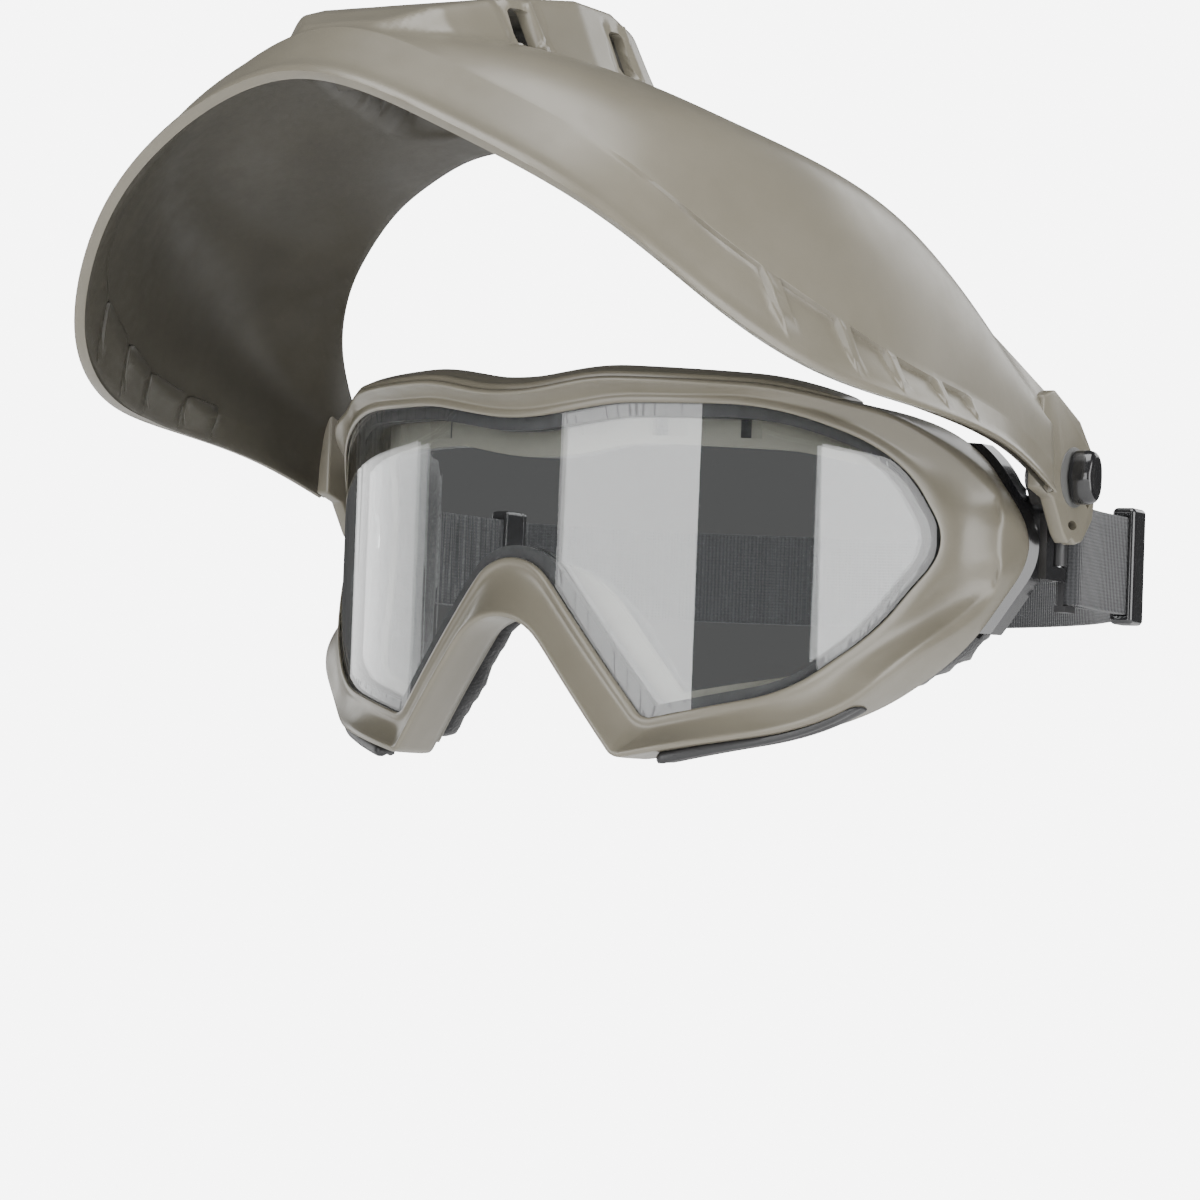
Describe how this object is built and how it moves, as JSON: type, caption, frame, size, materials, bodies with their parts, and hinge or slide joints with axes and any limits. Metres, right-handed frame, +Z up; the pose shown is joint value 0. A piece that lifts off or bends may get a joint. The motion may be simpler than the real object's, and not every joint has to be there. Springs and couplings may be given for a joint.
{
  "type": "welding goggles",
  "caption": "Wrap-around clear-lens goggles with a flip-up lower face guard, foam-lined skirt and an adjustable elastic head strap.",
  "frame": {"origin": "on the mirror plane, on the axis of the lens's cylinder, at eye level: the middle of the wearer's head between the temples", "axes": "+X to the wearer's left, -Y forward, +Z up; the guard is raised at rest"},
  "size_m": [0.2316, 0.3221, 0.1829],
  "materials": {
    "tan_shell": "satin moulded nylon, tan",
    "tan_inner": "satin moulded nylon, dark tan",
    "clear_lens": "clear hard-coated polycarbonate",
    "black_rubber": "matt black rubber",
    "skirt_rubber": "matt grey-tan rubber",
    "face_foam": "fleece-faced foam, charcoal",
    "dark_plastic": "satin black nylon",
    "gloss_black": "gloss black acetal",
    "steel": "plated steel",
    "brass": "turned brass",
    "washer_nylon": "natural nylon",
    "strap_webbing": "woven elastic, charcoal"
  },
  "bodies": {
    "goggles": {"goggle_frame": "tan_shell", "lens_outer": "clear_lens", "lens_spacer": "black_rubber", "lens_inner": "clear_lens", "lens_retainer": "black_rubber", "face_skirt": "skirt_rubber", "face_foam": "face_foam", "top_vent_cover": "tan_shell", "bottom_vent_cover_left": "dark_plastic", "bottom_vent_cover_right": "dark_plastic", "temple_bracket_left": "dark_plastic", "temple_bracket_right": "dark_plastic", "bracket_screws": "steel", "pivot_bolt_left": "steel", "pivot_bolt_right": "steel", "friction_washer_left": "washer_nylon", "friction_washer_right": "washer_nylon", "clip_pin_left": "steel", "clip_pin_right": "steel", "strap": "strap_webbing"},
    "guard": {"guard_shell": "tan_shell", "breath_baffle": "tan_inner"},
    "knob_left": {"pivot_knob_left": "gloss_black", "knob_insert_left": "brass"},
    "clip_left": {"strap_clip_left": "gloss_black", "strap_end_left": "strap_webbing"},
    "slider_left": {"slider_left": "gloss_black"},
    "knob_right": {"pivot_knob_right": "gloss_black", "knob_insert_right": "brass"},
    "clip_right": {"strap_clip_right": "gloss_black", "strap_end_right": "strap_webbing"},
    "slider_right": {"slider_right": "gloss_black"}
  },
  "joints": [
    {"name": "guard_flip", "type": "hinge", "parent": "goggles", "child": "guard", "pos_m": [0, -0.009, 0.025], "axis": [1, 0, 0], "range_deg": [0, 72]},
    {"name": "knob_turn_left", "type": "hinge", "parent": "goggles", "child": "knob_left", "pos_m": [0.11, -0.009, 0.025], "axis": [1, 0, 0], "range_deg": [-90, 180]},
    {"name": "clip_swivel_left", "type": "hinge", "parent": "goggles", "child": "clip_left", "pos_m": [0.101, 0, 0.008], "axis": [0, 0, 1], "range_deg": [-7, 7]},
    {"name": "slider_travel_left", "type": "slide", "parent": "goggles", "child": "slider_left", "axis": [-0.0872, 0.9962, 0], "range_m": [-0.013, 0.004]},
    {"name": "knob_turn_right", "type": "hinge", "parent": "goggles", "child": "knob_right", "pos_m": [-0.11, -0.009, 0.025], "axis": [1, 0, 0], "range_deg": [-90, 180]},
    {"name": "clip_swivel_right", "type": "hinge", "parent": "goggles", "child": "clip_right", "pos_m": [-0.101, 0, 0.008], "axis": [0, 0, 1], "range_deg": [-7, 7]},
    {"name": "slider_travel_right", "type": "slide", "parent": "goggles", "child": "slider_right", "axis": [0.0872, 0.9962, 0], "range_m": [-0.013, 0.004]}
  ]
}
